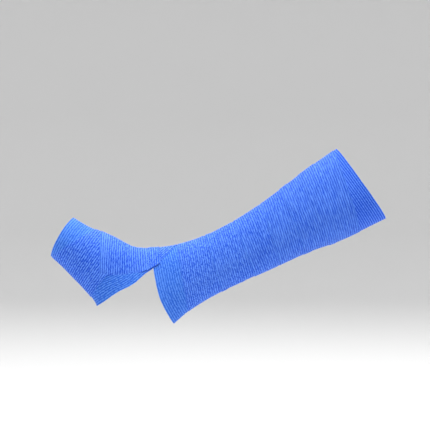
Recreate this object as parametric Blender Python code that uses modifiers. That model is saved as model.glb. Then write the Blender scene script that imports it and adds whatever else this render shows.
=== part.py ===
"""Cohesive bandage wrap: a ribbed elastic strip wound in overlapping turns on a bent form.

The strip sticks to itself, so its turns are one solid: a hollow shell with a toe opening, a
heel opening and an upper opening. Its long part, from the heel opening to the upper opening, is
called the shank here. Metres, +Z up. +X runs towards the upper opening and -Y is the near side.
The origin is just inside the top wall of the shank, over the centre of mass.

The shell is made in four steps:
1. a loft through the stations of the form that the strip is wound on,
2. a cut on each side along every strip edge that shows,
3. a Solidify whose vertex weights say how many layers of strip lie there,
4. a Boolean that cuts the heel opening.
"""
import math
from collections import namedtuple

import bmesh
import bpy
from mathutils import Matrix, Vector

# Lengths are in millimetres here, and add_object turns each finished mesh into metres.
MM = 0.001

# Driving dimensions.
LAYER = 0.75                # one layer of the strip as it lies stretched
MOST_LAYERS = 4.0           # layers at the thickest place, under the instep strap
TURN_LAYERS = 3.0           # layers at a turn's lower edge
BASE_LAYERS = 2.0           # layers where no edge lies on top
EDGE_RAMP = 0.9             # how wide the step at a strip's edge is
HIDDEN_RAMP = 4.0           # how wide it is where another turn covers the edge
STRIP_FADE = 60.0           # how far the last turn takes to thin to the base layers
COLUMNS = 36                # points round each row of the loft
CUTTER_REACH = 80.0         # half the length of the heel opening's cutter along Y
CUTTER_FLOOR = -180.0       # its lowest height

NEAR, FAR = 0, 1            # the two sides, as kept in the faces' "side" layer

# The form, station by station, from the toe opening to the upper opening. A station is a slice that
# holds the Y direction: its top and low point in the side view, half its width, how far its top
# point leans towards -Y, how flat its low half is (1 is round), how much wider it is below its
# middle than above, how far its two sides bow towards the upper opening, and the number of rows
# of points from it to the next station.
Station = namedtuple(
    "Station", "top_x top_z low_x low_z half_width lean flat fuller bow rows")
FORM = [
    Station(-167.5, 15.4, -190.8, -26.5, 43.0, 9.0, 0.72, 0.10, -1.8, 3),
    Station(-150.5, 5.2, -178.9, -37.4, 42.0, 8.0, 0.72, 0.12, -1.2, 3),
    Station(-134.3, -1.6, -165.6, -51.2, 40.0, 6.5, 0.72, 0.12, -0.6, 3),
    Station(-119.3, -8.6, -152.3, -65.2, 38.0, 5.0, 0.74, 0.12, 0.0, 3),
    Station(-105.5, -16.1, -139.9, -81.1, 36.5, 3.5, 0.78, 0.10, 0.0, 2),
    Station(-95.1, -19.4, -133.2, -103.9, 34.5, 2.0, 0.85, 0.05, 0.0, 2),
    Station(-87.0, -20.4, -120.5, -125.8, 33.5, 1.0, 0.90, 0.00, 0.0, 2),
    Station(-80.1, -20.7, -96.2, -137.4, 33.0, 0.0, 0.95, 0.00, 0.0, 2),
    Station(-73.1, -20.5, -72.0, -124.6, 33.0, 0.0, 1.00, 0.00, 0.0, 2),
    Station(-65.0, -19.9, -52.0, -104.4, 33.0, 0.0, 1.00, 0.00, 0.0, 3),
    Station(-46.6, -16.7, -29.2, -85.4, 31.5, 0.0, 1.00, 0.02, 0.0, 4),
    Station(-21.1, -8.7, 0.8, -67.8, 31.5, 0.0, 0.98, 0.05, 0.0, 4),
    Station(7.7, 4.9, 33.1, -53.0, 33.5, 0.0, 0.96, 0.07, 0.0, 4),
    Station(36.6, 22.1, 67.8, -37.5, 37.0, 0.0, 0.95, 0.09, 0.0, 4),
    Station(65.5, 42.3, 102.4, -21.6, 41.5, 0.0, 0.95, 0.10, 0.0, 4),
    Station(100.1, 68.7, 144.2, -6.2, 45.5, 0.0, 0.95, 0.10, -0.6, 5),
    Station(137.2, 94.7, 192.2, 17.1, 48.0, 0.0, 0.95, 0.10, -1.3, 0),
]

# The heel opening's two edges in the side view, each from its peak down to the bottom ridge.
APEX = (-74.3, -42.0)
HEEL_FRONT = [APEX, (-84.4, -48.4), (-93.5, -56.3), (-102.6, -62.3), (-111.7, -66.3),
              (-120.8, -71.9), (-129.8, -78.7), (-139.5, -85.2)]
HEEL_BACK = [APEX, (-72.7, -52.0), (-70.8, -60.6), (-66.3, -77.0), (-61.7, -87.8),
             (-57.2, -96.6), (-51.0, -106.5)]
CUT_PAST = (15.0, 25.0)              # how far the cutter runs on past the two edges' low ends
EDGE_STEPS = 3                       # straight steps between two of their points

# Places in the side view that several edges share.
STRAP_END_Z = -46.9                  # the instep strap's cut end
STRAP_MEETS_TURN = (-89.3, -69.3)    # where the diagonal strap climbs onto the ankle turn

# Every edge line in the side view runs from a top point to a low point.
Line = namedtuple("Line", "top low")
STRAP_EDGE = Line((-46.6, -14.8), APEX)                      # diagonal strap, at the bend
NEAR_STRAP_FRONT = Line((-133.7, 7.6), (-133.7, -52.4))      # instep strap, near side
NEAR_STRAP_BACK = Line((-66.5, -12.4), (-66.5, -52.4))
FAR_STRAP_FRONT = Line((-135.5, 3.0), (-192.5, -28.5))       # the same strap, far side
FAR_STRAP_BACK = Line((-67.4, -17.9), (-145.3, -77.9))
FOOT_TURN_BACK = Line((-104.3, -14.3), (-144.7, -77.4))      # foot turn, near side
STRAP_END = Line((-1.0, STRAP_END_Z), (0.0, STRAP_END_Z))    # level line along its cut end
CUFF_TURN = Line((94.4, 67.1), (127.8, -13.8))               # cuff turn, under the last turn
LAST_TURN_BACK = Line((133.6, 94.6), (162.0, 0.1))           # last turn's upper edge, near side
LAST_TURN_BACK_FAR = Line((133.6, 94.6), (187.9, 14.5))      # and far side
SPIRAL_END = Line((103.6, 9.9), (162.0, 55.0))               # the spiral's cut end, far side

# The shank spiral: where each turn's lower edge crosses the top and the back of the shank.
TURN_TOPS = [(-78.9, -18.4), (-46.6, -14.8), (-14.2, -3.9), (18.1, 12.8), (49.3, 33.6),
             (72.4, 49.8)]
TURN_LOWS = [(-35.2, -90.0), (3.1, -68.6), (41.2, -51.9), (70.1, -40.3), (97.8, -28.5),
             (124.4, -16.7)]

CLOTH_COLOUR = (0.07, 0.20, 0.87, 1.0)
CLOTH_ROUGHNESS = 0.85


def clear_scene():
    """Start from an empty scene."""
    for old in list(bpy.data.objects):
        bpy.data.objects.remove(old, do_unlink=True)


def catmull_rom(before, start, end, after, t):
    """A smooth curve's value between two stations, from their values and their neighbours'."""
    return 0.5 * (2 * start + (end - before) * t
                  + (2 * before - 5 * start + 4 * end - after) * t ** 2
                  + (3 * start - before - 3 * end + after) * t ** 3)


def station_at(index, t):
    """The form's slice a fraction t of the way from one station to the next."""
    picks = [FORM[max(0, min(len(FORM) - 1, index + step))] for step in (-1, 0, 1, 2)]
    return Station(*[catmull_rom(*values, t) for values in zip(*picks)])


def across_line(top, low):
    """The side view's direction across a line, towards the upper opening."""
    return Vector((top[1] - low[1], low[0] - top[0])).normalized()


def ring_point(piece, angle):
    """A point of a slice: angle 0 is its top and a quarter turn is the near side."""
    top, low = Vector((piece.top_x, piece.top_z)), Vector((piece.low_x, piece.low_z))
    down = (1 - math.cos(angle)) / 2
    squareness = 1 - (1 - piece.flat) * down
    swing = math.copysign(abs(math.sin(angle)) ** squareness, math.sin(angle))
    width = piece.half_width * (1 + piece.fuller * (2 * down - 1))
    place = top.lerp(low, down) + across_line(top, low) * piece.bow * math.sin(angle) ** 2
    return Vector((place.x, -width * swing - piece.lean * (1 - down), place.y))


def loft_form():
    """The form's surface as a bmesh: rows of points joined into an open tube."""
    mesh = bmesh.new()
    side = mesh.faces.layers.int.new("side")
    slices = []
    for index, station in enumerate(FORM[:-1]):
        slices += [station_at(index, row / station.rows) for row in range(station.rows)]
    slices.append(FORM[-1])
    angles = [2 * math.pi * column / COLUMNS for column in range(COLUMNS)]
    rows = [[mesh.verts.new(ring_point(piece, angle)) for angle in angles] for piece in slices]
    for lower, upper in zip(rows, rows[1:]):
        for column in range(COLUMNS):
            beside = (column + 1) % COLUMNS
            face = mesh.faces.new((lower[column], lower[beside], upper[beside], upper[column]))
            face[side] = NEAR if column < COLUMNS // 2 else FAR
    bmesh.ops.recalc_face_normals(mesh, faces=mesh.faces)
    return mesh


def beyond(point, line):
    """How far a point lies past a line, towards the upper opening."""
    offset = Vector((point.x - line.top[0], point.z - line.top[1]))
    return offset.dot(across_line(line.top, line.low))


def ramp(distance, width=EDGE_RAMP):
    """0 at an edge and 1 from its ramp's width on."""
    return max(0.0, min(1.0, distance / width))


def spiral_lines(side):
    """The lower edges of the spiral's turns on one side, from the bend up."""
    tops = TURN_TOPS[1:] if side == NEAR else TURN_TOPS
    return [Line(top, low) for top, low in zip(tops, TURN_LOWS)]


def spiral_layers(point, side):
    """Layers of the spiral: each turn steps up at its lower edge, then thins towards the next."""
    lines = spiral_lines(side)
    layers = BASE_LAYERS
    for line, following in zip(lines, lines[1:] + [None]):
        past = beyond(point, line)
        if past <= 0:
            break
        room = past - beyond(point, following) if following else STRIP_FADE
        turn = max(0.0, 1 - past / room) * ramp(past)
        if following is None and side == FAR:
            turn *= ramp(beyond(point, SPIRAL_END))
        layers = BASE_LAYERS + turn * (TURN_LAYERS - BASE_LAYERS)
    return layers


def shank_layers(point, side):
    """Layers on the bend and the shank: the spiral, raised over the hidden cuff turn."""
    last_back = LAST_TURN_BACK if side == NEAR else LAST_TURN_BACK_FAR
    over_cuff = ramp(beyond(point, CUFF_TURN), HIDDEN_RAMP) * ramp(-beyond(point, last_back))
    if side == FAR:
        over_cuff *= ramp(beyond(point, SPIRAL_END))
    return max(spiral_layers(point, side),
               BASE_LAYERS + over_cuff * (TURN_LAYERS - BASE_LAYERS))


def foot_layers(point, side):
    """Layers at the foot end: diagonal strap, foot turn over it and instep strap on top."""
    climb = ramp(point.x - STRAP_MEETS_TURN[0], STRAP_MEETS_TURN[1] - STRAP_MEETS_TURN[0])
    strap = BASE_LAYERS + climb * (TURN_LAYERS - BASE_LAYERS)
    if side == NEAR:
        turn = ramp(-beyond(point, FOOT_TURN_BACK))
        instep = min(ramp(beyond(point, NEAR_STRAP_FRONT)),
                     ramp(-beyond(point, NEAR_STRAP_BACK)), ramp(beyond(point, STRAP_END)))
    else:
        turn = ramp(-beyond(point, FAR_STRAP_BACK))
        instep = turn * ramp(beyond(point, FAR_STRAP_FRONT))
    under = max(strap, BASE_LAYERS + turn * (TURN_LAYERS - BASE_LAYERS))
    return under + instep * (MOST_LAYERS - under)


def layers_at(point, side):
    """How many layers lie at a point of one side."""
    on_foot = ramp(-beyond(point, STRAP_EDGE))
    foot, shank = foot_layers(point, side), shank_layers(point, side)
    return shank + (foot - shank) * on_foot


def cut(mesh, side, line, raised, low=None, high=None):
    """Cut one side along an edge line, and again where the edge's ramp ends.

    raised is 1 where the strip lies towards the upper opening and -1 where it lies towards the
    toe opening. The cut reaches only faces whose centres are between the corners low and high."""
    across = across_line(line.top, line.low)
    layer = mesh.faces.layers.int["side"]
    for shift in (0.0, raised * EDGE_RAMP):
        place = Vector(line.top) + across * shift
        faces = []
        for face in mesh.faces:
            middle = face.calc_center_median()
            inside = all((low is None or value > low[axis]) and (high is None or value < high[axis])
                         for axis, value in enumerate((middle.x, middle.z)))
            if face[layer] == side and inside:
                faces.append(face)
        edges = list({edge for face in faces for edge in face.edges})
        verts = list({vert for face in faces for vert in face.verts})
        bmesh.ops.bisect_plane(mesh, geom=faces + edges + verts, dist=0.02,
                               plane_co=(place.x, 0, place.y), plane_no=(across.x, 0, across.y))


def cut_strip_edges(mesh):
    """Cut both sides along every strip edge that shows.

    Each corner pair below bounds the stretch of the side view in which the edge shows."""
    foot, shank = -200.0, 200.0
    above_end, below_end = STRAP_END_Z - 4, STRAP_END_Z + 4
    for side in (NEAR, FAR):
        cut(mesh, side, STRAP_EDGE, -1, (foot, above_end), (-40.0, shank))
    for line, raised in ((NEAR_STRAP_FRONT, 1), (NEAR_STRAP_BACK, -1)):
        cut(mesh, NEAR, line, raised, (foot, above_end), (shank, shank))
    cut(mesh, NEAR, STRAP_END, 1, (NEAR_STRAP_FRONT.top[0] - 4, -shank), (-62.0, shank))
    cut(mesh, NEAR, FOOT_TURN_BACK, -1, (foot, -shank), (-96.0, below_end))
    cut(mesh, FAR, FAR_STRAP_FRONT, 1, (foot, -shank), (-126.0, shank))
    cut(mesh, FAR, FAR_STRAP_BACK, -1, (foot, -shank), (-62.0, shank))
    for side in (NEAR, FAR):
        for line in spiral_lines(side):
            cut(mesh, side, line, 1)
    cut(mesh, NEAR, LAST_TURN_BACK, -1)
    cut(mesh, FAR, LAST_TURN_BACK_FAR, -1)
    cut(mesh, FAR, SPIRAL_END, 1, (94.0, 0.0), (172.0, 64.0))


def weigh_layers(mesh):
    """Write each point's share of the most layers into vertex group 0."""
    weights = mesh.verts.layers.deform.verify()
    side = mesh.faces.layers.int["side"]
    for vert in mesh.verts:
        sides = sorted({face[side] for face in vert.link_faces})
        layers = sum(layers_at(vert.co, each) for each in sides) / len(sides)
        vert[weights][0] = layers / MOST_LAYERS


def smooth_edge(corners):
    """Points of a smooth curve through an edge's points."""
    points = []
    for index in range(len(corners) - 1):
        picks = [corners[max(0, min(len(corners) - 1, index + step))] for step in (-1, 0, 1, 2)]
        points += [Vector([catmull_rom(*values, step / EDGE_STEPS) for values in zip(*picks)])
                   for step in range(EDGE_STEPS)]
    return points + [Vector(corners[-1])]


def heel_outline():
    """The heel opening in the side view, closed well below the wrap."""
    front, back = smooth_edge(HEEL_FRONT), smooth_edge(HEEL_BACK)
    past_front = front[-1] + (front[-1] - front[-2]).normalized() * CUT_PAST[0]
    past_back = back[-1] + (back[-1] - back[-2]).normalized() * CUT_PAST[1]
    floor = [Vector((past_back.x, CUTTER_FLOOR)), Vector((past_front.x, CUTTER_FLOOR))]
    return front[::-1] + back[1:] + [past_back] + floor + [past_front]


def heel_cutter(collection):
    """A prism along Y with the heel opening's outline."""
    mesh = bmesh.new()
    base = mesh.faces.new([mesh.verts.new((p.x, -CUTTER_REACH, p.y)) for p in heel_outline()])
    grown = bmesh.ops.extrude_face_region(mesh, geom=[base])
    moved = [item for item in grown["geom"] if isinstance(item, bmesh.types.BMVert)]
    bmesh.ops.translate(mesh, verts=moved, vec=(0, 2 * CUTTER_REACH, 0))
    bmesh.ops.recalc_face_normals(mesh, faces=mesh.faces)
    cutter = add_object("heel_cutter", mesh, collection)
    cutter.hide_render = True
    cutter.display_type = "WIRE"
    return cutter


def add_object(name, mesh, collection):
    """Turn a bmesh in millimetres into an object in metres."""
    bmesh.ops.transform(mesh, matrix=Matrix.Scale(MM, 4), verts=mesh.verts)
    data = bpy.data.meshes.new(name)
    mesh.to_mesh(data)
    mesh.free()
    made = bpy.data.objects.new(name, data)
    collection.objects.link(made)
    return made


def new_collection(name):
    """A collection under the scene's own."""
    collection = bpy.data.collections.new(name)
    bpy.context.scene.collection.children.link(collection)
    return collection


def cloth_material():
    """Matt blue elastic cloth."""
    material = bpy.data.materials.new("blue_elastic_cloth")
    material.use_nodes = True
    shader = material.node_tree.nodes["Principled BSDF"]
    shader.inputs["Base Color"].default_value = CLOTH_COLOUR
    shader.inputs["Roughness"].default_value = CLOTH_ROUGHNESS
    shader.inputs["Metallic"].default_value = 0.0
    return material


def build_wrap():
    """The whole wrap, one solid."""
    parts = new_collection("cohesive_bandage_wrap")
    cutters = new_collection("cutters")
    surface = loft_form()
    cut_strip_edges(surface)
    weigh_layers(surface)
    wrap = add_object("wrap", surface, parts)
    wrap.vertex_groups.new(name="layers")
    wrap.data.materials.append(cloth_material())

    wall = wrap.modifiers.new("wall", "SOLIDIFY")
    wall.thickness = LAYER * MOST_LAYERS * MM
    wall.offset = 1
    wall.use_even_offset = True
    wall.vertex_group = "layers"

    heel = wrap.modifiers.new("heel_opening", "BOOLEAN")
    heel.operation = "DIFFERENCE"
    heel.solver = "EXACT"
    heel.object = heel_cutter(cutters)


clear_scene()
build_wrap()
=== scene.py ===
# %% [markdown]
# # A cohesive bandage wrap, laid strip by strip
#
# A cohesive bandage is a crinkled elastic strip that sticks to itself and to nothing else. Nobody
# sews or pins it: the whole wrap is one strip's turns, lying half over each other. So this lesson
# makes one thing, a strip, and lays it five times: the turn at the upper opening, the turn behind
# the heel opening, the spiral that climbs the shank, the strap that crosses the bend, and the
# ribbon that goes round the toe opening, back over the bend, and stops on the near side.
#
# Only the wrap is made here. What it is wound on is the form: a shape that every turn follows.
# The imported solid comes first.

# %% The tools, and the imported solid
import math
from collections import namedtuple

import bmesh
import bpy
import numpy as np
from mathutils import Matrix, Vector, noise


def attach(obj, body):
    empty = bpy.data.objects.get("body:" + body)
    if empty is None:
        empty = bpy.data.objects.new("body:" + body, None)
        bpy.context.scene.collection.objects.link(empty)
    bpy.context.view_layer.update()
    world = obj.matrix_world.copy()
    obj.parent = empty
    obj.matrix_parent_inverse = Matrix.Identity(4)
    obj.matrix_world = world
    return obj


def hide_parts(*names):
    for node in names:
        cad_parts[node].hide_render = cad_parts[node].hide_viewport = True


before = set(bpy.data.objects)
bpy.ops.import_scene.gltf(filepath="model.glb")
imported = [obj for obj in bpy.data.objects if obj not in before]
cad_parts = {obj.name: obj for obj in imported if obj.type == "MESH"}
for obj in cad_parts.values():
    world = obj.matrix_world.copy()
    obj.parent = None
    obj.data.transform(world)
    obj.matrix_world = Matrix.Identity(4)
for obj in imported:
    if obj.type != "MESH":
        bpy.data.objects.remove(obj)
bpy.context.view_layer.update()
print("nodes:", ", ".join(sorted(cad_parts)))

# %% [markdown]
# ## The form
#
# The form is one bent tube. The easy way to write such a tube down is as slices: where each
# slice's top and low points are in the side view, how wide it is, and how it leans or flattens.
# The slices here are the solid's own, so what is laid on them fits what MuJoCo collides with. A
# smooth curve through the slices, a Catmull-Rom spline, gives a point for any place along the
# tube and any angle round it. Angle 0 is the ridge along the top, a quarter turn is the near
# side, and half a turn is the ridge along the bottom. Lengths are in millimetres until a mesh is
# finished.

# %% Slices from the toe end to the upper opening
MM = 0.001
TOP, LOW = 0, 1             # the two ridges
NEAR, FAR = 1, -1           # the two sides, as the sign of the angle

# top x, top z, low x, low z, half width, lean, flatness of the low half, fullness, bow
FORM = np.array([
    (-167.5, 15.4, -190.8, -26.5, 43.0, 9.0, 0.72, 0.10, -1.8),
    (-150.5, 5.2, -178.9, -37.4, 42.0, 8.0, 0.72, 0.12, -1.2),
    (-134.3, -1.6, -165.6, -51.2, 40.0, 6.5, 0.72, 0.12, -0.6),
    (-119.3, -8.6, -152.3, -65.2, 38.0, 5.0, 0.74, 0.12, 0.0),
    (-105.5, -16.1, -139.9, -81.1, 36.5, 3.5, 0.78, 0.10, 0.0),
    (-95.1, -19.4, -133.2, -103.9, 34.5, 2.0, 0.85, 0.05, 0.0),
    (-87.0, -20.4, -120.5, -125.8, 33.5, 1.0, 0.90, 0.00, 0.0),
    (-80.1, -20.7, -96.2, -137.4, 33.0, 0.0, 0.95, 0.00, 0.0),
    (-73.1, -20.5, -72.0, -124.6, 33.0, 0.0, 1.00, 0.00, 0.0),
    (-65.0, -19.9, -52.0, -104.4, 33.0, 0.0, 1.00, 0.00, 0.0),
    (-46.6, -16.7, -29.2, -85.4, 31.5, 0.0, 1.00, 0.02, 0.0),
    (-21.1, -8.7, 0.8, -67.8, 31.5, 0.0, 0.98, 0.05, 0.0),
    (7.7, 4.9, 33.1, -53.0, 33.5, 0.0, 0.96, 0.07, 0.0),
    (36.6, 22.1, 67.8, -37.5, 37.0, 0.0, 0.95, 0.09, 0.0),
    (65.5, 42.3, 102.4, -21.6, 41.5, 0.0, 0.95, 0.10, 0.0),
    (100.1, 68.7, 144.2, -6.2, 45.5, 0.0, 0.95, 0.10, -0.6),
    (137.2, 94.7, 192.2, 17.1, 48.0, 0.0, 0.95, 0.10, -1.3),
])


def form_points(place, angle):
    """Points of the form, in mm, at places along it (0 to 16) and angles round it."""
    place, angle = np.broadcast_arrays(place, angle)
    first = np.clip(np.floor(place).astype(int), 0, len(FORM) - 2)
    t = (place - first)[..., None]
    before, start, end, after = (
        FORM[np.clip(first + step, 0, len(FORM) - 1)] for step in (-1, 0, 1, 2))
    piece = 0.5 * (2 * start + (end - before) * t
                   + (2 * before - 5 * start + 4 * end - after) * t ** 2
                   + (3 * start - before - 3 * end + after) * t ** 3)
    top_x, top_z, low_x, low_z, half_width, lean, flat, fuller, bow = np.moveaxis(piece, -1, 0)
    down = (1 - np.cos(angle)) / 2
    swing = np.sign(np.sin(angle)) * np.abs(np.sin(angle)) ** (1 - (1 - flat) * down)
    width = half_width * (1 + fuller * (2 * down - 1))
    across_x, across_z = top_z - low_z, low_x - top_x
    bend = bow * np.sin(angle) ** 2 / np.hypot(across_x, across_z)
    return np.stack([top_x + (low_x - top_x) * down + across_x * bend,
                     -width * swing - lean * (1 - down),
                     top_z + (low_z - top_z) * down + across_z * bend], axis=-1)


def form_normals(place, angle):
    """The form's outward directions there, from small steps along it and round it."""
    small = 1e-3
    along = (form_points(np.minimum(place + small, len(FORM) - 1), angle)
             - form_points(np.maximum(place - small, 0), angle))
    round_it = form_points(place, angle + small) - form_points(place, angle - small)
    normal = np.cross(round_it, along)
    return normal / np.linalg.norm(normal, axis=-1, keepdims=True)


PLACES = np.linspace(0, len(FORM) - 1, 801)     # fifty to a slice
ANGLES = np.linspace(0, math.pi, 181)           # a degree apart, from ridge to ridge
SHANK_SLICE = 12.0                              # a place in the shank, to look at
SIDES = {side: form_points(PLACES[:, None], side * ANGLES[None, :]) for side in (NEAR, FAR)}
RIDGES = SIDES[NEAR][:, [0, -1]]
RIDGE_RUNS = np.concatenate([
    np.zeros((1, 2)), np.cumsum(np.linalg.norm(np.diff(RIDGES, axis=0), axis=-1), axis=0)])
near_normal = form_normals(np.array(SHANK_SLICE), np.array(math.pi / 2))
print("form:", len(FORM), "slices, ridges", RIDGE_RUNS[-1].round(0), "mm long, outward on the",
      "near side is", near_normal.round(2))

# %% [markdown]
# ## Where a turn lies
#
# Seen from the side, a turn of a taut strip is almost a straight band that runs from the top
# ridge to the low ridge, and the next half of the turn runs back behind it. So each half turn is
# told by its two edges, and each edge by the x of its two ends on the ridges. Where a real edge
# strays from the straight line, the edge has a few pairs that say how far, at which share of the
# way down. A half turn's other rows are shared out evenly between its edges. A row's points are
# then found on the form itself: for each angle, the place along the tube where it crosses the
# row's line.

# %% Edges and half turns
Edge = namedtuple("Edge", "top low strays")
# A toe edge is the one nearer to the toe opening, a shin edge the one nearer to the upper one.
# bunched says how much closer the threads lie at the hidden toe edge's upper end.
HalfTurn = namedtuple("HalfTurn", "side toe_edge shin_edge bunched")

STRIP_WIDTH = 70.0          # the strip as it lies stretched
RIBS = 27                   # raised threads across it
ROWS = 2 * RIBS + 1         # one row of points on each thread and one in each furrow
STEP = 1.8                  # distance between points along the strip
STRAIGHT = ((0.0, 0.0), (1.0, 0.0))


def bowed(bow):
    """The strays of an edge that bows evenly to its shin side, or with a minus to its toe side."""
    return tuple((share, bow * 4 * share * (1 - share)) for share in np.linspace(0, 1, 9))


def band(side, tops, lows, strays=(STRAIGHT, STRAIGHT), bunched=0.0):
    """A half turn from the places where its toe and shin edges meet the ridges."""
    return HalfTurn(side, Edge(tops[0], lows[0], strays[0]), Edge(tops[1], lows[1], strays[1]),
                    bunched)


def on_ridge(ridge, toe_x, shin_x, share):
    """A side-view point that lies at a share of the way between two places on a ridge."""
    runs = np.interp([toe_x, shin_x], RIDGES[:, ridge, 0], RIDGE_RUNS[:, ridge])
    run = runs[0] + (runs[1] - runs[0]) * share
    return np.array([np.interp(run, RIDGE_RUNS[:, ridge], RIDGES[:, ridge, axis])
                     for axis in (0, 2)])


def past_line(points, top, low):
    """How far points lie past a side-view line, on its shin side, and their share along it."""
    along = low - top
    length = np.linalg.norm(along)
    across = np.array([-along[1], along[0]]) / length
    offset = points[..., [0, 2]] - top
    return offset @ across, np.clip(offset @ along / length ** 2, 0, 1)


def past_row(points, half, share):
    """How far points lie past one of a half turn's rows: share 0 is its toe edge, 1 its other."""
    toe, shin = half.toe_edge, half.shin_edge
    top = on_ridge(TOP, toe.top, shin.top, share - half.bunched * share * (1 - share))
    low = on_ridge(LOW, toe.low, shin.low, share)
    past, down = past_line(points, top, low)
    strays = [np.interp(down, *zip(*edge.strays)) for edge in (toe, shin)]
    return past - strays[0] * (1 - share) - strays[1] * share


# %% A half turn's rows, found on the form
WANDER = 0.35               # how far a strip's edge wanders from its line
WANDER_LENGTH = 16.0        # and over what length


def crossings(past):
    """For each angle, the place where the sign of past changes from toe side to shin side."""
    after = np.argmax(past >= 0, axis=0)
    after[past[-1] < 0] = len(PLACES) - 1
    before = np.maximum(after - 1, 0)
    columns = np.arange(len(ANGLES))
    gap = past[after, columns] - past[before, columns]
    share = np.clip(-past[before, columns] / np.where(gap > 1e-9, gap, 1.0), 0, 1)
    return PLACES[before] + (PLACES[after] - PLACES[before]) * share


def places_on_form(half):
    """Each row's place along the form at every angle in ANGLES."""
    surface = SIDES[half.side]
    wander = []
    for share in (0.0, 1.0):
        edge = form_points(crossings(past_row(surface, half, share)), half.side * ANGLES)
        wander.append(np.array([
            WANDER * noise.noise(Vector(point) / WANDER_LENGTH) for point in edge]))
    rows = []
    for share in np.linspace(0, 1, ROWS):
        own = wander[0] * (1 - share) + wander[1] * share
        rows.append(crossings(past_row(surface, half, share) - own))
    return np.array(rows)


cuff_halves = [band(side, (94.4, 137.2), (127.9, 192.2), (STRAIGHT, bowed(-1.3)), bunched=0.35)
               for side in (NEAR, FAR)]
trial = places_on_form(cuff_halves[0])
print("cuff turn: places", trial.min().round(2), "to", trial.max().round(2))

# %% [markdown]
# ## What a turn lies on
#
# The strip is about half a millimetre thick, and each turn climbs over those before it. That is
# what makes their edges show: softly through a turn that covers one, and as a sharp step where a
# turn ends on top. So every half turn that is laid is remembered, and a point's height is the
# number of remembered half turns that cover its place on the form. A taut strip doesn't drop
# straight down at a hidden edge but spans it, so the count fades out over a few millimetres past
# each edge.

# %% Layers under a point
LAYER = 0.55                # thickness of the strip as it lies stretched
LINING = 1.1                # how far the first turns lie off the form
SPAN = 2.6                  # how far a strip spans past an edge that it covers
SOFTENING = 2               # points along the strip over which a rise is softened
laid = []                   # the half turns laid so far


def smooth(t):
    """0 to 1 with soft ends."""
    t = np.clip(t, 0, 1)
    return t * t * (3 - 2 * t)


def layers_under(points, side, earlier):
    """How many of the earlier half turns lie under points of one side."""
    count = np.zeros(points.shape[:-1])
    for half in earlier:
        if half.side == side:
            count += (smooth(1 + past_row(points, half, 0.0) / SPAN)
                      * smooth(1 - past_row(points, half, 1.0) / SPAN))
    return count


def soften_along(heights, closed):
    """Lift what lies beside a rise along the strip, so that the strip spans the rise too."""
    columns = np.arange(heights.shape[1])
    last = heights.shape[1] - 1

    def over_shifts(values, merge):
        shifted = []
        for shift in range(-SOFTENING, SOFTENING + 1):
            at = columns + shift
            shifted.append(values[:, at % last if closed else np.clip(at, 0, last)])
        return merge(shifted, axis=0)

    return over_shifts(over_shifts(heights, np.max), np.mean)


print("a layer is", LAYER, "mm, and spans", SPAN, "mm past a covered edge")

# %% [markdown]
# ## The strip itself
#
# Blender's grid operator makes the flat strip: one column of points for each step along it and
# one row for each raised thread and each furrow between threads. Then every point is moved to its
# place: on the form, lifted by the layers beneath, and about a fifth of a millimetre up or down
# for the threads. The threads of such a bandage draw in and crinkle the cloth between them, and
# do it unevenly, so each thread's height varies along it on its own. Solidify gives the cloth its
# thickness, and the finished mesh keeps sharp edges only where the cloth was cut.
#
# A taut strip lies where it is wound. So it is moved onto the form point by point, as one would
# lay it by hand, and there is nothing for a cloth simulation to settle.

# %% Threads and crinkles
RIB_HEIGHT = 0.18           # half the height from furrow to thread
UNEVENNESS = 0.9            # how much that height comes and goes along a thread
CRINKLE_LENGTH = 4.0        # and over what length
THREAD_OFFSET = 3.7         # keeps each thread's crinkles apart from its neighbour's
SLOW_HEIGHT = 0.12          # the slow unevenness of hand-laid cloth
SLOW_LENGTH = 22.0          # and over what length


def thread_relief(points):
    """How far threads and furrows stand off, each thread crinkled along its length on its own."""
    relief = np.zeros(points.shape[:-1])
    for row in range(ROWS):
        up = 1 if row % 2 == 0 else -1
        own = Vector((row * THREAD_OFFSET, 0, 0))
        for column in range(points.shape[1]):
            at = Vector(points[row, column])
            relief[row, column] = (
                up * RIB_HEIGHT * (1 + UNEVENNESS * noise.noise(at / CRINKLE_LENGTH + own))
                + SLOW_HEIGHT * noise.noise(at / SLOW_LENGTH))
    return relief


print("threads stand", 2 * RIB_HEIGHT, "mm over the furrows, on average")

# %% The strip's mesh
SEAM = 1e-6                 # metres within which a ring's first and last columns become one
SAMPLED = 97                # every how many faces one is asked which way it faces
CUT_ANGLE = 50              # edges sharper than this, in degrees, are cuts


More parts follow.
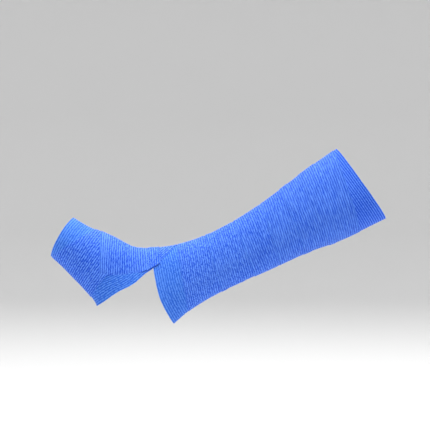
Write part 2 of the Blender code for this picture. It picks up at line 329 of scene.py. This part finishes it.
def strip_object(name, points, normals, counts, closed, pull):
    """A grid whose points are moved onto their places, then thickened.

    Its points carry two numbers for the cloth's material, layers and pull."""
    rows, columns = points.shape[:2]
    steps = np.linalg.norm(np.diff(points, axis=1), axis=-1)
    runs = np.concatenate([np.zeros((rows, 1)), np.cumsum(steps, axis=1)], axis=1)
    strip = bmesh.new()
    bmesh.ops.create_grid(strip, x_segments=columns - 1, y_segments=rows - 1, size=1)
    layers = strip.verts.layers.float.new("layers")
    pulls = strip.verts.layers.float.new("pull")
    flat = strip.loops.layers.uv.new("strip")
    spot = {vert: (round((vert.co.y + 1) / 2 * (rows - 1)),
                   round((vert.co.x + 1) / 2 * (columns - 1))) for vert in strip.verts}
    for face in strip.faces:
        for loop in face.loops:
            row, column = spot[loop.vert]
            loop[flat].uv = (runs[row, column] * MM, row / (rows - 1) * STRIP_WIDTH * MM)
    for vert, (row, column) in spot.items():
        vert[layers] = 1 + counts[row, column]
        vert[pulls] = pull
        vert.co = points[row, column] * MM
    if closed:
        bmesh.ops.remove_doubles(strip, verts=strip.verts, dist=SEAM)
    strip.normal_update()
    agree = sum(face.normal.dot(Vector(normals[spot[face.verts[0]]]))
                for face in list(strip.faces)[::SAMPLED] if face.verts[0] in spot)
    if agree < 0:
        bmesh.ops.reverse_faces(strip, faces=strip.faces)
    mesh = bpy.data.meshes.new(name)
    strip.to_mesh(mesh)
    strip.free()
    made = bpy.data.objects.new(name, mesh)
    bpy.context.scene.collection.objects.link(made)
    wall = made.modifiers.new("thickness", "SOLIDIFY")
    wall.thickness = LAYER * MM
    wall.offset = 1
    finished = bpy.data.meshes.new_from_object(
        made.evaluated_get(bpy.context.evaluated_depsgraph_get()))
    made.modifiers.clear()
    made.data = finished
    finished.name = name
    finished.shade_smooth()
    finished.set_sharp_from_angle(angle=math.radians(CUT_ANGLE))
    length = float(runs[rows // 2, -1]) * MM
    print(f"{name}: {length:.3f} m long, {2 * len(finished.polygons)} triangles")
    return made, length


# %% Laying a strip of half turns
def rows_of_half(half, upward, stops):
    """A half turn's places and angles: a row for each thread and furrow, columns along its way.

    upward says that it runs up to the top ridge. stops gives each row's last angle, if it is
    cut."""
    places = places_on_form(half)
    middle = form_points(places[ROWS // 2], half.side * ANGLES)
    runs = np.concatenate([[0], np.cumsum(np.linalg.norm(np.diff(middle, axis=0), axis=-1))])
    limit = math.pi if stops is None else float(np.median(stops))
    length = np.interp(limit, ANGLES, runs)
    columns = np.interp(np.linspace(0, length, round(length / STEP) + 1), runs, ANGLES)
    angle = np.repeat(columns[None, :], ROWS, axis=0)
    if stops is not None:
        angle *= (stops / limit)[:, None]
    place = np.array([np.interp(row, ANGLES, own) for row, own in zip(angle, places)])
    if upward:
        angle, place = angle[:, ::-1], place[:, ::-1]
    return place, half.side * angle


def lay_strip(name, turns, closed=False, curl=None, pull=0.0, beneath=0):
    """Lay a strip of half turns (half, upward, stops) on what is laid already.

    curl gives the extra lift of each point. pull is how the strip was pulled: -1 loose and even,
    0 relaxed, so that its threads wander, 0.5 straight, 1 taut. beneath is how many more layers
    than are laid here lie under it nearly everywhere, which only its colour shows."""
    parts = []
    earlier = list(laid)
    for half, upward, stops in turns:
        place, angle = rows_of_half(half, upward, stops)
        points = form_points(place, angle)
        counts = layers_under(points, half.side, earlier)
        start = 1 if parts else 0
        parts.append([part[:, start:] for part in (points, form_normals(place, angle), counts)])
        earlier.append(half)
    points, normals, counts = (np.concatenate(each, axis=1) for each in zip(*parts))
    counts = soften_along(counts, closed)
    lift = LINING + LAYER * counts + thread_relief(points)
    if curl is not None:
        lift += curl(points)
    points = points + normals * lift[..., None]
    laid.extend(half for half, upward, stops in turns)
    return strip_object(name, points, normals, counts + beneath, closed, pull)


print(ROWS, "rows,", round(STRIP_WIDTH / RIBS, 2), "mm from thread to thread")

# %% [markdown]
# ## The turns, in the order they are laid
#
# The cuff turn at the upper opening and the ankle turn behind the heel opening come first. Both
# are closed rings here, because the turns that follow hide where they begin and end. The ankle
# turn's edge at the heel opening is drawn in a little, where the cloth is free.

# %% Cuff turn and ankle turn
HEEL_EDGE = ((0.0, 0.0), (0.25, -1.1), (0.37, -2.6), (0.47, -3.5), (0.65, -4.3), (0.78, -3.3),
             (0.89, -1.7), (1.0, 0.0))


def ring(halves):
    """The turns of a closed ring: up the near side and down the far side."""
    return [(halves[0], True, None), (halves[1], False, None)]


ankle_halves = [band(side, (-80.0, -11.4), (-52.2, 8.4), (HEEL_EDGE, STRAIGHT))
                for side in (NEAR, FAR)]
cuff_turn, cuff_length = lay_strip("cuff_turn", ring(cuff_halves), closed=True, pull=-1.0,
                                   beneath=1)
ankle_turn, ankle_length = lay_strip("ankle_turn", ring(ankle_halves), closed=True, pull=0.5)

# %% [markdown]
# The spiral climbs the shank. On the far side it runs down and forward, and on the near side it
# comes up again, each turn about half over the one before. It ends on the far side, cut across.

# %% Shank spiral
SPIRAL_TOPS = [(-78.9, -17.7), (-46.6, 14.7), (-14.2, 47.0), (18.1, 79.3), (49.3, 110.5),
               (72.4, 133.6)]
SPIRAL_LOWS = [(-35.2, 28.5), (3.1, 67.2), (41.2, 105.3), (70.1, 133.6), (97.8, 161.9),
               (124.4, 187.9)]
SPIRAL_CUT = ((103.6, 9.9), (162.0, 55.0))      # the side-view line of its cut end


def stops_at(half, short):
    """Each row's last angle, where short, which is above 0 before the cut, falls to 0."""
    stops = []
    for own in places_on_form(half):
        left = short(form_points(own, half.side * ANGLES))
        after = max(1, int(np.argmax(left < 0)))
        share = left[after - 1] / (left[after - 1] - left[after])
        stops.append(np.interp(after - 1 + share, np.arange(len(ANGLES)), ANGLES))
    return np.array(stops)


spiral = []
for number, (tops, lows) in enumerate(zip(SPIRAL_TOPS, SPIRAL_LOWS)):
    if number:
        spiral.append((band(NEAR, tops, SPIRAL_LOWS[number - 1]), True, None))
    spiral.append((band(FAR, tops, lows), False, None))
cut_top, cut_low = (np.array(corner) for corner in SPIRAL_CUT)
last = spiral[-1][0]
spiral[-1] = (last, False, stops_at(last, lambda points: past_line(points, cut_top, cut_low)[0]))
shank_spiral, spiral_length = lay_strip("shank_spiral", spiral, beneath=1)

# %% [markdown]
# The diagonal strap crosses the bend: it runs from the low ridge, on the toe side of the heel
# opening, up over the top ridge. Its edge towards the shank is the front edge of the heel
# opening, as uneven as a free edge of pulled cloth is.

# %% Diagonal strap
STRAP_EDGE = ((0.0, -0.5), (0.15, 1.1), (0.33, 3.9), (0.43, 3.0), (0.54, 4.0), (0.63, 3.4),
              (0.72, 1.2), (0.81, 0.3), (0.91, 0.4), (1.0, 0.0))
strap_halves = [band(side, (-140.1, -46.6), (-188.6, -138.5), (STRAIGHT, STRAP_EDGE))
                for side in (NEAR, FAR)]
diagonal_strap, strap_length = lay_strip("diagonal_strap", ring(strap_halves), closed=True,
                                         pull=0.5)

# %% [markdown]
# The last ribbon goes once round at the toe opening, then comes up over the bend and down the
# near side, where it ends. It was torn off nearly level there. The torn end is pressed into the
# turn beneath it, apart from its corner towards the shank, which has curled up.

# %% Foot turn and instep strap
TORN_END = ((-140.0, -47.0), (-131.0, -47.3), (-124.0, -48.4), (-112.0, -48.4),
            (-89.0, -45.9), (-80.0, -43.8), (-72.0, -40.0), (-60.0, -33.0))
LAST_HALF = 0.75                        # share of the ribbon before its last half turn
CURL_FROM, CURL_FULL = -92.0, -84.0     # x where the end begins to curl up, and is curled
CURL_REACH, CURL_HEIGHT = 4.5, 1.2      # over what width, and how far
PRESSED = -0.5                          # how far the rest of the end sinks in
EDGE_LIFT, EDGE_REACH = 0.3, 3.0        # how far the shin edge stands off, and over what width


def above_end(points):
    """How far points lie above the instep strap's torn end."""
    return points[..., 2] - np.interp(points[..., 0], *zip(*TORN_END))


def end_curl(points):
    """How far the shin edge stands off, and how far the torn end lifts off or sinks in."""
    last_half = np.arange(points.shape[1]) > points.shape[1] * LAST_HALF
    near = (points[..., 1] < 0) & last_half
    curled = smooth((points[..., 0] - CURL_FROM) / (CURL_FULL - CURL_FROM))
    height = PRESSED + (CURL_HEIGHT - PRESSED) * curled
    from_edge = (1 - np.linspace(0, 1, ROWS)[:, None]) * STRIP_WIDTH
    return (near * height * smooth(1 - above_end(points) / CURL_REACH)
            + EDGE_LIFT * smooth(1 - from_edge / EDGE_REACH))


instep_near = band(NEAR, (-135.5, -68.0), (-133.2, -54.0))
TOE_EDGE = (bowed(-1.8), STRAIGHT)
ribbon = [(band(FAR, (-167.5, -104.3), (-190.8, -145.3), TOE_EDGE), True, None),
          (band(NEAR, (-167.5, -104.3), (-190.8, -145.3), TOE_EDGE), False, None),
          (band(FAR, (-135.5, -68.0), (-190.8, -145.3)), True, None),
          (instep_near, False, stops_at(instep_near, above_end))]
foot_ribbon, ribbon_length = lay_strip("foot_ribbon", ribbon, curl=end_curl, pull=1.0)

# %% [markdown]
# ## Shader maths as Python
#
# A material's nodes are easier to read as an expression than as a web. One small class wraps a
# socket, so that ribs * 0.5 + crinkle adds its own Math nodes, and one method adds any other node
# from its type, its settings and what goes into its sockets.

# %% A socket that Python can reckon with
class Signal:
    """A shader socket with the operators that the materials use."""

    def __init__(self, tree, socket):
        self.tree, self.socket = tree, socket

    def node(self, kind, settings=None, inputs=None, output=0):
        """Add any node: its settings first, then the values or links of its sockets."""
        made = self.tree.nodes.new(kind)
        for key, value in (settings or {}).items():
            setattr(made, key, value)
        for key, value in (inputs or {}).items():
            if isinstance(value, Signal):
                self.tree.links.new(value.socket, made.inputs[key])
            else:
                made.inputs[key].default_value = value
        return Signal(self.tree, made.outputs[output])

    def reckon(self, operation, first, second):
        return self.node("ShaderNodeMath", {"operation": operation}, {0: first, 1: second})

    def __add__(self, other):
        return self.reckon("ADD", self, other)

    def __sub__(self, other):
        return self.reckon("SUBTRACT", self, other)

    def __rsub__(self, other):
        return self.reckon("SUBTRACT", other, self)

    def __mul__(self, other):
        return self.reckon("MULTIPLY", self, other)

    def cosine(self):
        return self.node("ShaderNodeMath", {"operation": "COSINE"}, {0: self})

    def between(self, low, high):
        """0 at low, 1 at high, soft between them."""
        return self.node("ShaderNodeMapRange", {"interpolation_type": "SMOOTHSTEP"},
                         {"Value": self, "From Min": low, "From Max": high})

    def mix(self, first, second):
        """One colour where this is 0 and another where it is 1."""
        return self.node("ShaderNodeMix", {"data_type": "RGBA"},
                         {0: self, 6: first, 7: second}, output=2)


print("a socket adds, takes away, multiplies, fades and mixes")

# %% [markdown]
# ## The cloth
#
# The real cloth is a thin crinkled web with raised elastic threads along it. Light catches the
# threads and the crinkles between them as broken pale dashes, and the furrows stay a deeper blue.
# Here both are painted into the colour: a painted highlight on the threads and dashes and painted
# shade in the furrows, over a random fine grain and slow drift of tone.
# Where the wrap is one layer thick, and along the strip's own edges, the blue turns a little
# towards cyan. The pattern follows the strip, so it reads the strip's own UV map, in metres: U
# runs along the strip and V across it, from its toe edge.
#
# How a strip was pulled changes its pattern, so its points carry that number too. At -1 the cloth
# is loose, and its threads are even, with few dashes. At 0 it is relaxed, and the threads wander.
# From 0.5 they run straight, and at 1, taut, those beside its toe edge show nearly unbroken.

# %% The cloth's material
PITCH = STRIP_WIDTH * MM / RIBS
DEEP_TONE_AND_SHADE = (0.004, 0.066, 0.64, 1)      # painted shade in the furrows, and the darker end of a random tone
PALE_TONE_AND_HIGHLIGHT = (0.130, 0.31, 0.98, 1)       # painted highlight on the threads and dashes, and the paler end of a random tone
THIN = (0.050, 0.24, 0.77, 1)       # a single layer, and the strip's edges
SELVAGE = (0.004, 0.014)            # metres from a taut toe edge where its look fades out
RIM = (0.001, 0.003)                # metres from either edge where the rim's look fades out
ONE_TO_TWO = (1.1, 2.0)             # layers from which the cloth begins to look full, and does
BUMP_STRENGTH, BUMP_HEIGHT = 0.6, 0.0006
ROUGHNESS, SPECULAR = 0.7, 0.12     # matt, with hardly a shine


def cloth_material():
    """Crinkled elastic cloth that follows the strip."""
    material = bpy.data.materials.new("cohesive_cloth")
    material.use_nodes = True
    tree = material.node_tree
    shader = tree.nodes["Principled BSDF"]
    start = Signal(tree, shader.outputs[0])
    place = start.node("ShaderNodeUVMap", {"uv_map": "strip"})
    along = start.node("ShaderNodeSeparateXYZ", None, {0: place}, "X")
    across = start.node("ShaderNodeSeparateXYZ", None, {0: place}, "Y")
    layers = start.node("ShaderNodeAttribute", {"attribute_name": "layers"}, None, "Fac")
    pull = start.node("ShaderNodeAttribute", {"attribute_name": "pull"}, None, "Fac")
    taut, loose = pull.between(0.0, 1.0), 1 - pull.between(-1.0, 0.0)

    def speckle(along_scale, across_scale, detail):
        """Noise about 0, with so many spots a metre along the strip and across it."""
        spot = start.node("ShaderNodeCombineXYZ", None,
                          {"X": along * along_scale, "Y": across * across_scale})
        return start.node("ShaderNodeTexNoise", None,
                          {"Vector": spot, "Scale": 1.0, "Detail": detail}) - 0.5

    relaxed = (1 - pull.between(0.0, 0.5)) * (1 - loose)
    wobble = speckle(500.0, 1.0 / PITCH, 0.0) * relaxed * (PITCH * 0.7)
    thread = ((across + wobble) * (2 * math.pi / PITCH)).cosine() * 0.5 + 0.5
    dashes = speckle(320.0, 1.3 / PITCH, 1.0).between(-0.12, 0.12) * (1 - loose * 0.8)
    grain = speckle(800.0, 900.0, 1.0)
    slow = speckle(22.0, 30.0, 1.0)
    selvage = taut * (1 - across.between(*SELVAGE))
    steady = selvage * 0.3 + loose * 0.15 + 0.4     # how much painted highlight a thread shows between its dashes
    # How pale the cloth is: a painted highlight on the threads and dashes above all, with painted
    # shade in the furrows between them, then a random fine grain and a slow drift of tone.
    light = (thread * (steady + dashes * 0.65) + dashes * 0.15 + grain * 1.1 + slow * 0.35
             + relaxed * 0.02 + 0.08)
    # Painted highlight where this is high, painted shade in the furrows where it is low.
    colour = light.between(0.0, 1.0).mix(DEEP_TONE_AND_SHADE, PALE_TONE_AND_HIGHLIGHT)
    inside = across.between(*RIM) * (STRIP_WIDTH * MM - across).between(*RIM)
    thin = (1 - layers.between(*ONE_TO_TWO)) * 0.3 + (1 - inside) * 0.1
    tree.links.new(thin.mix(colour, THIN).socket, shader.inputs["Base Color"])
    height = thread * 0.5 + dashes * 0.35 + grain * 0.35
    bump = start.node("ShaderNodeBump", None, {
        "Strength": BUMP_STRENGTH, "Distance": BUMP_HEIGHT, "Height": height})
    tree.links.new(bump.socket, shader.inputs["Normal"])
    shader.inputs["Roughness"].default_value = ROUGHNESS
    shader.inputs["Specular IOR Level"].default_value = SPECULAR
    return material


cloth = cloth_material()
print("cloth:", len(cloth.node_tree.nodes), "nodes")

# %% [markdown]
# ## Riding on the frame
#
# All the strips stand for the one solid, and each is a sheet that is held stretched. A cohesive
# strip is cut 75 mm wide and drawn out by about a third as it is laid, which narrows it to 70 mm.

# %% Ride and replace
DRAWN = 1.3                 # how many times its cut length the strip has as it lies
strips = {cuff_turn: (cuff_length, []),
          ankle_turn: (ankle_length, []),
          shank_spiral: (spiral_length, [cuff_turn, ankle_turn]),
          diagonal_strap: (strap_length, [ankle_turn, shank_spiral]),
          foot_ribbon: (ribbon_length, [diagonal_strap, shank_spiral])}
for strip, (length, under) in strips.items():
    strip.data.materials.clear()
    strip.data.materials.append(cloth)
    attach(strip, "root")
    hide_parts("wrap")
    length / DRAWN
print("strip in all:", round(sum(length for length, under in strips.values()), 2),
      "m stretched,", sum(2 * len(strip.data.polygons) for strip in strips), "triangles")

# %% [markdown]
# ## Stage, light and camera
#
# Nothing on the stage holds the wrap: it floats over a plain pale floor that curves up far away,
# made as one section that is spun round. The light is soft and from above. The camera looks level
# from the near side.

# %% Floor
FLOOR_Z = -0.32             # metres
PAPER_GREY, PAPER_ROUGHNESS = 0.66, 0.95
# The floor's section: distance from the middle, and height over the floor.
BOWL = [(0.0, 0.0), (5.0, 0.0), (6.5, 0.25), (7.6, 0.9), (8.3, 2.0), (8.6, 4.0), (8.7, 7.0)]
floor_mesh = bmesh.new()
section = [floor_mesh.verts.new((out, 0, FLOOR_Z + up)) for out, up in BOWL]
rim = [floor_mesh.edges.new(pair) for pair in zip(section, section[1:])]
bmesh.ops.spin(floor_mesh, geom=section + rim, cent=(0, 0, 0), axis=(0, 0, 1),
               angle=2 * math.pi, steps=64, use_merge=True)
bmesh.ops.remove_doubles(floor_mesh, verts=floor_mesh.verts, dist=1e-5)
bmesh.ops.recalc_face_normals(floor_mesh, faces=floor_mesh.faces)
floor_data = bpy.data.meshes.new("floor")
floor_mesh.to_mesh(floor_data)
floor_mesh.free()
floor_data.shade_smooth()
floor = bpy.data.objects.new("floor", floor_data)
bpy.context.scene.collection.objects.link(floor)
paper = bpy.data.materials.new("pale_paper")
paper.use_nodes = True
paper_shader = paper.node_tree.nodes["Principled BSDF"]
paper_shader.inputs["Base Color"].default_value = (PAPER_GREY, PAPER_GREY, PAPER_GREY, 1)
paper_shader.inputs["Roughness"].default_value = PAPER_ROUGHNESS
floor_data.materials.append(paper)
print("floor:", len(floor_data.polygons), "faces")

# %% Lights
LAMP_SIZE = 1.2             # metres, large enough for soft shadows
SKY_STRENGTH = 1.1


def soft_light(name, place, power):
    """A square lamp that looks at the wrap."""
    lamp = bpy.data.lights.new(name, "AREA")
    lamp.shape = "SQUARE"
    lamp.size = LAMP_SIZE
    lamp.energy = power
    made = bpy.data.objects.new(name, lamp)
    bpy.context.scene.collection.objects.link(made)
    made.location = place
    made.rotation_euler = (-Vector(place)).to_track_quat("-Z", "Y").to_euler()
    return made


lamps = [soft_light("key", (0.4, -1.0, 2.8), 52.0),
         soft_light("back", (0.3, 1.4, 2.8), 60.0)]
world = bpy.context.scene.world or bpy.data.worlds.new("world")
bpy.context.scene.world = world
world.use_nodes = True
sky = world.node_tree.nodes["Background"]
sky.inputs["Color"].default_value = (1.0, 1.0, 1.0, 1)
sky.inputs["Strength"].default_value = SKY_STRENGTH
bpy.context.scene.view_settings.view_transform = "Standard"
print(len(lamps), "lamps")

# %% Camera
CAMERA_PLACE = (-0.0038, -2.0, 0.01975)         # metres, 2 m away on the near side
FIELD_OF_VIEW = 14.16                           # degrees, a far camera with a long lens
SENSOR = 36.0                                   # mm
LEVEL = (math.radians(90), 0, 0)                # looks along +Y
camera_data = bpy.data.cameras.new("camera")
camera_data.lens = SENSOR / 2 / math.tan(math.radians(FIELD_OF_VIEW / 2))
camera = bpy.data.objects.new("camera", camera_data)
bpy.context.scene.collection.objects.link(camera)
camera.location = CAMERA_PLACE
camera.rotation_euler = LEVEL
bpy.context.scene.camera = camera
print("lens", round(camera_data.lens, 1), "mm")
